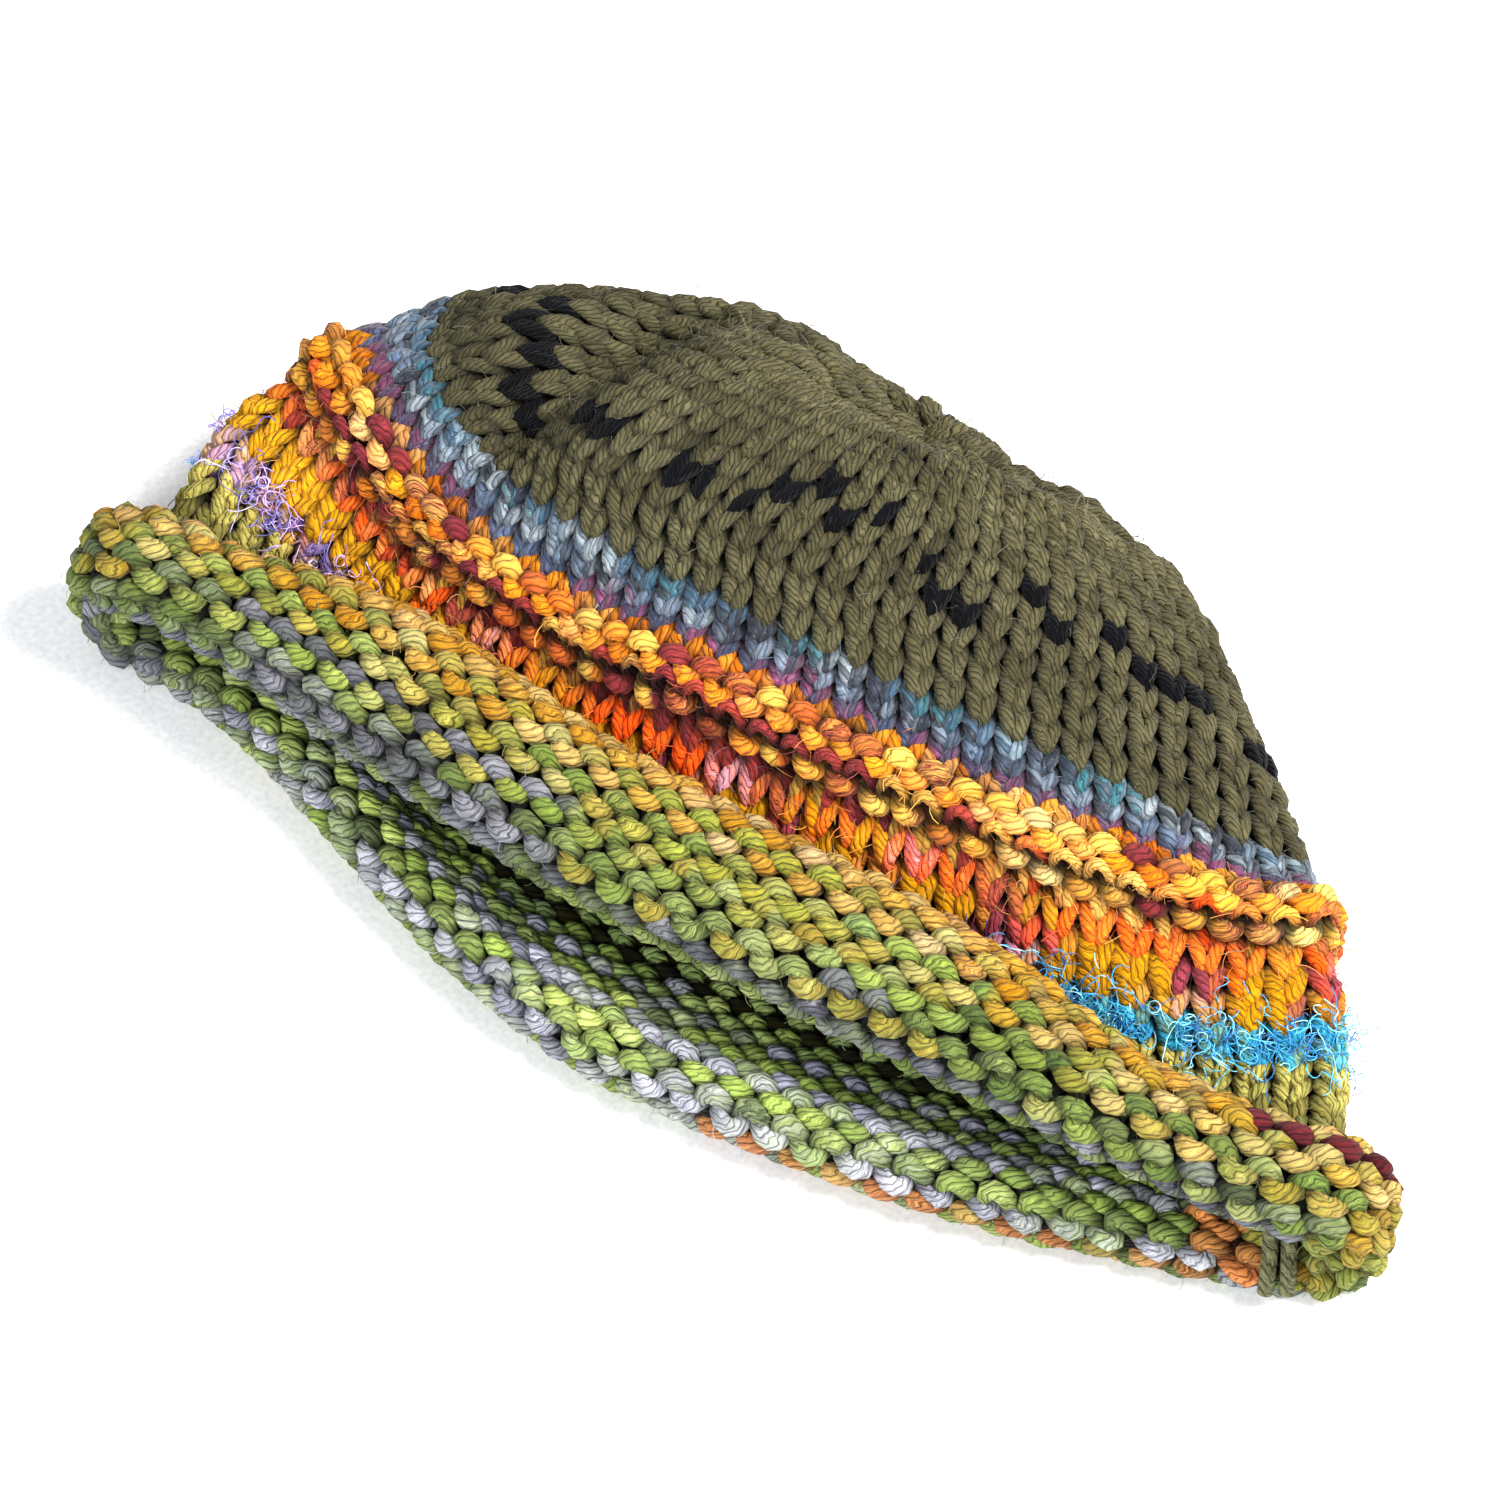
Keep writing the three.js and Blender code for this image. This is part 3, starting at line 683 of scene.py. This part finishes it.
def knit_round(sheet, row, stitches, random):
    """The yarn's line for one round, a closed run of loops, its radius, and the painted shade on it, 0 to
    1: darker where it lies deep in the wool and in the gaps between columns.
    """
    t = np.arange(stitches * PER_STITCH) / PER_STITCH
    turn = 2 * math.pi * t
    which = t.astype(int)

    def wobble(amount):
        knots = random.normal(0, amount, stitches)
        smooth = smoothstep(t - which, 0, 1)
        return knots[which] * (1 - smooth) + knots[(which + 1) % stitches] * smooth

    # Up, down and along the cap
    loop = PURL if row < BRIM_END or row in PURL_ROUNDS else KNIT
    lean = loop["lean"] * np.sin(2 * turn) + loop["pair"] * np.sin(turn)
    share = (t + lean + wobble(UNEVEN["along"])) / stitches
    reach = loop["reach"] * (1 + wobble(UNEVEN["reach"]))
    rounds = row + 0.5 - reach * np.cos(turn) + wobble(UNEVEN["up"])

    # In and out of the wool
    high = (1 - np.cos(turn)) / 2
    own, after = (1 if r in PURL_ROUNDS else -1 for r in (row, row + 1))
    side = own * (1 - high) + after * high
    depth = side * (loop["depth"] * np.cos(2 * turn) - loop["tuck"] * np.cos(turn))
    depth = depth + wobble(UNEVEN["depth"] + GATHER_LUMPS * smoothstep(row, *GATHER_ROUNDS))

    from_ridge = rounds - RIDGE_ROUND
    rounds = rounds + RIDGE_SPREAD * from_ridge * np.exp(-(from_ridge**2))
    place, out = on_sheet(sheet, rounds, share)
    ridge = RIDGE_RISE * np.exp(-(((rounds - RIDGE_ROUND) / RIDGE_REACH) ** 4))
    gap = 0
    if loop is KNIT:
        gap = np.exp(-(((t + lean - which + 0.5) % 1 - 0.5) ** 2) / COLUMN_GAP)
    point = place + out * (depth + ridge - COLUMN_SINK * gap)[:, None]
    wide = loop["width"] * (1 + wobble(UNEVEN["width"])) * (1 - loop["swell"] * np.cos(turn) ** 2)
    if row in SLUB_ROUNDS:
        wide = wide * (1 + SLUB_SWELL * slubs(row, t))
    point[:, 2] = np.maximum(point[:, 2], wide)
    # Painted shade: the deeper a loop lies in the wool on the side seen, the darker; darker still in the
    # gaps between columns
    seen = -depth if row < BRIM_END - 2 else depth
    painted_shade = 1 - smoothstep(seen, *PAINTED_SHADE_DEPTHS)
    return point, wide, np.clip(painted_shade + PAINTED_GAP_SHADE * gap, 0, 1)


def line_mesh(name, runs):
    """A mesh of edges. Each run is (points in mm, closed, width in mm, dye a, dye b)."""
    points, edges, width, run, dye_a, dye_b = [], [], [], [], [], []
    base = 0
    for place, closed, wide, a, b in runs:
        n = len(place)
        points.append(place * MM)
        ids = np.arange(n)
        pairs = np.stack([ids, (ids + 1) % n], axis=1)[: n if closed else n - 1]
        edges.append(pairs + base)
        width.append(np.broadcast_to(wide, n) * MM)
        run.append(measure(place))
        dye_a.append(np.broadcast_to(a, (n, 3)))
        dye_b.append(np.broadcast_to(b, (n, 3)))
        base += n
    mesh = bpy.data.meshes.new(name)
    mesh.from_pydata(np.concatenate(points).tolist(), np.concatenate(edges).tolist(), [])
    for label, parts in (("width", width), ("run", run)):
        layer = mesh.attributes.new(label, "FLOAT", "POINT")
        layer.data.foreach_set("value", np.concatenate(parts).astype(np.float32))
    for label, parts in (("dye_a", dye_a), ("dye_b", dye_b)):
        layer = mesh.attributes.new(label, "FLOAT_COLOR", "POINT")
        colours = np.concatenate(parts)
        full = np.hstack([colours, np.ones((len(colours), 1))]).astype(np.float32)
        layer.data.foreach_set("color", full.ravel())
    piece = bpy.data.objects.new(name, mesh)
    bpy.context.scene.collection.objects.link(piece)
    return piece


def join(name, pieces):
    """Joins pieces into the first one and names it."""
    bpy.ops.object.select_all(action="DESELECT")
    for piece in pieces:
        piece.select_set(True)
    bpy.context.view_layer.objects.active = pieces[0]
    bpy.ops.object.join()
    pieces[0].name = name
    return pieces[0]


# ------------------------------------------------------------------ materials
def open_material(name):
    """A material, and the net of its empty tree."""
    material = bpy.data.materials.new(name)
    material.use_nodes = True
    material.node_tree.nodes.clear()
    return material, Net(material.node_tree)


def close_material(net, *plugs):
    """Gives the material a shader with these plugs."""
    net.add("ShaderNodeOutputMaterial", ("Surface", net.add("ShaderNodeBsdfPrincipled", *plugs)))


def attribute(net, name, out):
    return net.add("ShaderNodeAttribute", attribute_name=name, out=out)


def scaled(net, colour, share):
    return net.add("ShaderNodeVectorMath", (0, colour), ("Scale", share), operation="SCALE")


# How often the winding drifts in changes a mm, and how far in plies
DRIFTS, DRIFT = 0.16, 2.2
# Steps from ply to ply in its number, which never repeat, and in the fibres' noise
PLY_STEP, PLY_START, FIBRE_STEP = 0.618, 0.13, 7.3
# The fibres' noise: changes across a ply and along it, its scale, and its height as a share of a ply's
FIBRES_ACROSS, FIBRES_ALONG, FIBRE_SCALE, FIBRE_RISE = 4.5, 0.5, 1.6, 0.5
# How much of the second dye there is, and how far the fibres change that
SECOND_DYE, FIBRE_DYE = 0.3, 1.6
# How the fibres darken: contrast, what is taken off, and the darkest
CONTRAST, TAKEN_OFF, DARKEST = 3.2, 0.55, 0.12
PLY_HEIGHT = 0.0005  # metres


def yarn_material(name, roughness, plies=6, lay=9.5, sheen=0.06, groove_shade=0.5, streak=0.35, gloss=0.12):
    """Plied wool. The plies wind once round the yarn in lay mm, groove_shade is how much painted shade
    lies in the grooves between them, and streak how much they differ in their share of the yarn's two
    dyes."""
    material, net = open_material(name)
    parts = net.add("ShaderNodeSeparateXYZ", ("Vector", attribute(net, "section", "Vector")))
    run = attribute(net, "run", "Fac")
    round_it = net.maths("ARCTAN2", parts.out("Y"), parts.out("X"))
    along = net.add("ShaderNodeCombineXYZ", ("X", run * DRIFTS), ("Y", net.maths("COSINE", round_it)))
    drift = net.add("ShaderNodeTexNoise", ("Vector", along), ("Scale", 1.0), ("Detail", 1.0), out=0)
    turns = round_it * (plies / (2 * math.pi)) + run * (plies / lay) + drift * DRIFT
    ply = net.maths("FLOOR", turns)
    share = turns - ply
    across = share * 2.0 - 1.0
    # Each ply's profile, 1 on its top and 0 in the grooves, sets the painted shade between the plies
    ridge = 1.0 - across * across * across * across
    pick = net.maths("FRACT", net.maths("FLOORED_MODULO", ply, float(plies)) * PLY_STEP + PLY_START)
    fibre_place = net.add(
        "ShaderNodeCombineXYZ",
        ("X", share * FIBRES_ACROSS + ply * FIBRE_STEP),
        ("Y", run * FIBRES_ALONG),
        ("Z", pick),
    )
    fibre = net.add(
        "ShaderNodeTexNoise",
        ("Vector", fibre_place),
        ("Scale", FIBRE_SCALE),
        ("Detail", 3.0),
        ("Roughness", 0.7),
        out=0,
    )
    second = SECOND_DYE + (pick - 0.5) * streak + (fibre - 0.5) * FIBRE_DYE
    both = net.add(
        "ShaderNodeMix",
        ("Factor", net.maths("MAXIMUM", second, 0.0)),
        (6, attribute(net, "dye_a", "Color")),
        (7, attribute(net, "dye_b", "Color")),
        data_type="RGBA",
        out=2,
    )
    fibre_shade = net.maths("MAXIMUM", fibre * CONTRAST - TAKEN_OFF, DARKEST)
    # Painted shade in the grooves between the plies, times the fibres' own uneven tone
    shade = (1.0 - groove_shade + groove_shade * ridge) * fibre_shade
    ply_height = net.maths("SQRT", net.maths("MAXIMUM", 1.0 - across * across, 0.0))
    height = ply_height + fibre * FIBRE_RISE
    bump = net.add("ShaderNodeBump", ("Strength", 1.0), ("Distance", PLY_HEIGHT), ("Height", height))
    close_material(
        net,
        ("Base Color", scaled(net, both, shade)),
        ("Roughness", roughness),
        ("Normal", bump),
        ("Sheen Weight", sheen),
        ("Sheen Roughness", 0.5),
        ("Specular IOR Level", gloss),
    )
    return material


def specks(net, scale, detail):
    """Noise on Object coordinates."""
    place = net.add("ShaderNodeTexCoord", out="Object")
    return net.add("ShaderNodeTexNoise", ("Vector", place), ("Scale", scale), ("Detail", detail), out=0)


def strand_material(name, roughness, metallic):
    """Fine strands in the dye that they carry, a little unevenly."""
    material, net = open_material(name)
    close_material(
        net,
        ("Base Color", scaled(net, attribute(net, "dye_a", "Color"), 0.7 + specks(net, 700.0, 1.0))),
        ("Roughness", roughness),
        ("Metallic", metallic),
        ("Sheen Weight", 0.3),
    )
    return material


def paper_material(name, colour, roughness):
    """One colour, a little unevenly."""
    material, net = open_material(name)
    close_material(
        net,
        ("Base Color", scaled(net, colour, 0.8 + specks(net, 900.0, 2.0) * 0.4)),
        ("Roughness", roughness),
    )
    return material


# ------------------------------------------------------------------ pieces
def declare(piece, node):
    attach(piece, "root")
    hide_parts(node)


# Piece, its CAD node, its slot, first round, round after the last
PIECES = [
    ("brim_roll", "brim", "brim_yarn", -ROLL_ROWS, 0),
    ("brim_inside", "brim", "brim_yarn", 0, BRIM_END),
    ("olive_yellow_rounds", "olive_rows", "olive_yellow_yarn", BRIM_END, EYELASH),
    ("eyelash_rounds", "eyelash_stripe", "eyelash_yarn", EYELASH, BAND),
    ("patterned_band", "band", "band_yarn", BAND, WELT),
    ("purl_ridge", "welt", "welt_yarn", WELT, BLUE),
    ("blue_rounds", "blue_stripe", "blue_yarn", BLUE, CROWN),
    ("crown_sides", "crown", "crown_yarn", CROWN, CROWN + 8),
    ("crown_gather", "crown", "crown_yarn", CROWN + 8, POLE),
]


# The olive rounds from which every second stitch goes, and then every second of the rest
DECREASES = (CROWN + 12, CROWN + 17)

# The share of its dyes that a loop shows at its top, where it has no painted shade; the painted shade is
# taken off this
UNSHADED_SHARE = 1.05
# Painted light on the lower layer's rows, which lie in the upper layer's shadow: the stitches between
# which it comes and then goes, how much it brightens them inside the mouth and on the rolled edge,
# and the first row that counts as inside
PAINTED_LIGHT_STITCHES = (37, 42, 68, 71)
INNER_PAINTED_LIGHT, OUTER_PAINTED_LIGHT, INNER_FROM = 1.3, 0.5, -1


def stitches_in(row):
    return STITCHES // 2 ** sum(row >= first for first in DECREASES)


def lit_share(row, painted_shade):
    """The share of its dyes that each point of a round shows: painted shade taken off, and painted light
    added on the lower layer.
    """
    share = (UNSHADED_SHARE - painted_shade) * strength(row)
    if row >= BRIM_END:
        return share
    t = np.arange(len(painted_shade)) / PER_STITCH
    begins, full, ends, over = PAINTED_LIGHT_STITCHES
    painted_light = smoothstep(t, begins, full) * (1 - smoothstep(t, ends, over))
    return share * (1 + (INNER_PAINTED_LIGHT if row >= INNER_FROM else OUTER_PAINTED_LIGHT) * painted_light)


def make_pieces(sheet, sweep):
    random = np.random.default_rng(11)
    wool = yarn_material("plied wool", 0.9)
    firm = yarn_material("olive wool", 0.9, plies=7, lay=8.5, groove_shade=0.6)
    shiny = yarn_material("lustrous yarn", 0.42, sheen=0.2, streak=1.5, gloss=0.5)
    materials = {"blue_yarn": shiny, "crown_yarn": firm}
    halo = halo_tree()
    hair = strand_material("fine wool hairs", 0.9, 0.0)
    for name, node, slot, first, after in PIECES:
        runs = []
        for row in range(first, after):
            point, wide, painted_shade = knit_round(sheet, row, stitches_in(row), random)
            a, b = round_dyes(row, len(point), random)
            # The painted shade and the lower layer's painted light are multiplied into both dyes
            share = lit_share(row, painted_shade)[:, None]
            runs.append((point, True, wide, a * share, b * share))
        piece = line_mesh(name, runs)
        piece = through_tree(piece, sweep, Sides=6, Material=materials.get(slot, wool))
        piece = add_halo(piece, halo, hair, 3 + first)
        declare(piece, node)
    make_lashes(sheet, sweep, random)


# Hairs on each piece: hairs per square metre of yarn, their length and their radius in metres
HALO = {
    "brim_roll": (18000, 0.0016, 0.00004),
    "brim_inside": (2000, 0.0016, 0.00004),
    "olive_yellow_rounds": (16000, 0.002, 0.00004),
    "eyelash_rounds": (8000, 0.002, 0.00004),
    "patterned_band": (56000, 0.0028, 0.00006),
    "purl_ridge": (22000, 0.0018, 0.00004),
    "blue_rounds": (26000, 0.002, 0.00004),
    "crown_sides": (20000, 0.002, 0.00004),
    "crown_gather": (36000, 0.0026, 0.00005),
}


def add_halo(piece, tree, material, seed):
    """Hairs that stand off the piece's yarn, joined to it."""
    many, length, radius = HALO[piece.name]
    hairs = bpy.data.objects.new(piece.name + "_hairs", piece.data.copy())
    bpy.context.scene.collection.objects.link(hairs)
    values = {"Hairs_per_m2": float(many), "Hair_length": length, "Hair_width": radius}
    through_tree(hairs, tree, Seed=seed, Material=material, **values)
    place = np.zeros(len(hairs.data.vertices) * 3)
    hairs.data.vertices.foreach_get("co", place)
    place[2::3] = np.maximum(place[2::3], 0)
    hairs.data.vertices.foreach_set("co", place)
    return join(piece.name, [piece, hairs])


# Stretches of the eyelash strands: from stitch, to stitch, strands a stitch, dyes
LASHES = [
    (0, 4.2, 30, "2088c0 30a0d4 90e0f8 1068a8 48b8e0"),
    (4.2, 5.2, 5, "2088c0 90e0f8"),
    (5.2, 9.5, 30, "2088c0 30a0d4 90e0f8 1068a8 48b8e0"),
    (9.5, 13, 14, "5048a0 8070c0 302878 a898dc"),
    (13, 26, 3, "5048a0 8070c0 2896c8"),
    (26, 36, 15, "a898dc c8bcf0 8c80c8 6058b0 c8a0d0"),
    (36, 72, 3, "2896c8 8070c0 a898dc"),
]
LASH_ROUNDS = (EYELASH - 0.3, BAND + 0.2)
# A strand's steps and the length of one in mm, its radius, and the height that it starts at
LASH_STEPS, LASH_STEP, LASH_RADIUS, LASH_START = 14, 0.75, 0.12, 1.6
# Heights in mm between which a strand stays, and how hard it is turned back
LASH_LOW, LASH_HIGH, LASH_PULL = 2, 4, 0.8
# How far a strand starts outwards and how far at random, how much it bends a step, how much that turns
LASH_OUT, LASH_SWAY, LASH_BEND, LASH_TWIST = 0.8, 0.6, (0.4, 1.0), 0.25


def make_lashes(sheet, sweep, random):
    """Curly shining strands that stand out of the two eyelash rounds."""
    material = strand_material("shining eyelash strands", 0.3, 0.25)
    runs = []
    for start, end, each, names in LASHES:
        colours = np.array([dye(name) for name in names.split()])
        many = int((end - start) * each)
        share = random.uniform(start, end, many) / STITCHES
        rounds = random.uniform(*LASH_ROUNDS, many)
        place, out = on_sheet(sheet, rounds, share)
        height = np.full(many, LASH_START)
        heading = unit(out * LASH_OUT + random.normal(0, LASH_SWAY, (many, 3)))
        axis = unit(random.normal(0, 1, (many, 3)))
        bend = random.uniform(*LASH_BEND, many)[:, None]
        at = place + out * LASH_START
        line = [at]
        for _ in range(LASH_STEPS):
            heading = unit(heading + np.cross(axis, heading) * bend)
            height = height + np.sum(heading * out, axis=1) * LASH_STEP
            too_high = np.clip(height - LASH_HIGH, 0, 1)[:, None]
            too_low = np.clip(LASH_LOW - height, 0, 1)[:, None]
            heading = unit(heading - out * too_high * LASH_PULL)
            heading = unit(heading + out * too_low * LASH_PULL)
            axis = unit(axis + random.normal(0, LASH_TWIST, (many, 3)))
            at = at + heading * LASH_STEP
            line.append(at)
        line = np.stack(line, axis=1)
        line[..., 2] = np.maximum(line[..., 2], LASH_RADIUS)
        picks = colours[random.integers(0, len(colours), many)]
        runs += [(line[k], False, LASH_RADIUS, picks[k], picks[k]) for k in range(many)]
    piece = line_mesh("eyelash_strands", runs)
    piece = through_tree(piece, sweep, Sides=3, Material=material)
    declare(piece, "eyelash_stripe")


# ------------------------------------------------------------------ the two yarn ends
# Their routes in mm
TAILS = {
    "yarn_tail_1": [
        (105.5, -21, 17.5),
        (109.5, -27, 17.5),
        (113.5, -32, 17.5),
        (117.3, -36.9, 16.7),
        (119.4, -40.6, 13.2),
        (120.6, -43.4, 8.8),
        (121, -44.6, 5.8),
    ],
    "yarn_tail_2": [
        (108.4, -18.3, 18.3),
        (112.3, -24.8, 18.3),
        (116.2, -30.3, 18.3),
        (119.9, -35.2, 17.2),
        (122.1, -38.7, 13.7),
        (123.8, -41.7, 9.3),
        (124.3, -43, 6.1),
    ],
}
TAIL_RADIUS = 1.5
TAIL_DYES = ("54543c", "7c7c5c")


def smooth_line(points, parts):
    """A smooth line through the points, with that many parts from one to the next."""
    route = np.array(points, dtype=float)
    padded = np.vstack([2 * route[0] - route[1], route, 2 * route[-1] - route[-2]])
    line = []
    for p0, p1, p2, p3 in zip(padded, padded[1:], padded[2:], padded[3:]):
        slope, bend = p2 - p0, 2 * p0 - 5 * p1 + 4 * p2 - p3
        twist = 3 * p1 - p0 - 3 * p2 + p3
        for t in np.linspace(0, 1, parts, endpoint=False):
            line.append(0.5 * (2 * p1 + slope * t + bend * t * t + twist * t**3))
    return np.array(line + [route[-1]])


def make_tail(node, points, sweep, material):
    """A yarn end along its route."""
    line = smooth_line(points, 6)
    dyes = [dye(name) for name in TAIL_DYES]
    piece = line_mesh("wool_" + node, [(line, False, TAIL_RADIUS, *dyes)])
    piece = through_tree(piece, sweep, Sides=12, Material=material)
    declare(piece, node)


# ------------------------------------------------------------------ floor and light
def make_stage():
    mesh = bpy.data.meshes.new("floor")
    mesh.from_pydata([(-6, -6, 0), (6, -6, 0), (6, 6, 0), (-6, 6, 0)], [], [(0, 1, 2, 3)])
    floor = bpy.data.objects.new("floor", mesh)
    bpy.context.scene.collection.objects.link(floor)
    mesh.materials.append(paper_material("pale paper", (0.89, 0.89, 0.9), 0.9))
    world = bpy.data.worlds.new("studio")
    bpy.context.scene.world = world
    world.use_nodes = True
    background = world.node_tree.nodes["Background"]
    background.inputs["Color"].default_value = (0.93, 0.96, 1.0, 1)
    background.inputs["Strength"].default_value = 0.4
    # Name, place, side in metres, power in watts, colour
    lamps = [
        ("key", (0.95, 0.4, 1.35), 0.7, 54, (1.0, 0.985, 0.96)),
        ("front", (0.0, -1.5, 0.9), 1.2, 32, (0.97, 0.985, 1.0)),
    ]
    for name, at, size, power, colour in lamps:
        light = bpy.data.lights.new(name, "AREA")
        light.shape = "SQUARE"
        light.size, light.energy, light.color = size, power, colour
        lamp = bpy.data.objects.new(name, light)
        lamp.location = at
        lamp.rotation_euler = Vector(at).to_track_quat("Z", "Y").to_euler()
        bpy.context.scene.collection.objects.link(lamp)
    view = bpy.context.scene.view_settings
    view.view_transform = "Standard"
    view.look = "Medium High Contrast"


make_camera()
sweep = sweep_tree()
tail_wool = yarn_material("dark olive wool", 0.9, plies=3, lay=7.0)
for label, points in TAILS.items():
    make_tail(label, points, sweep, tail_wool)
make_pieces(make_sheet(), sweep)
make_stage()
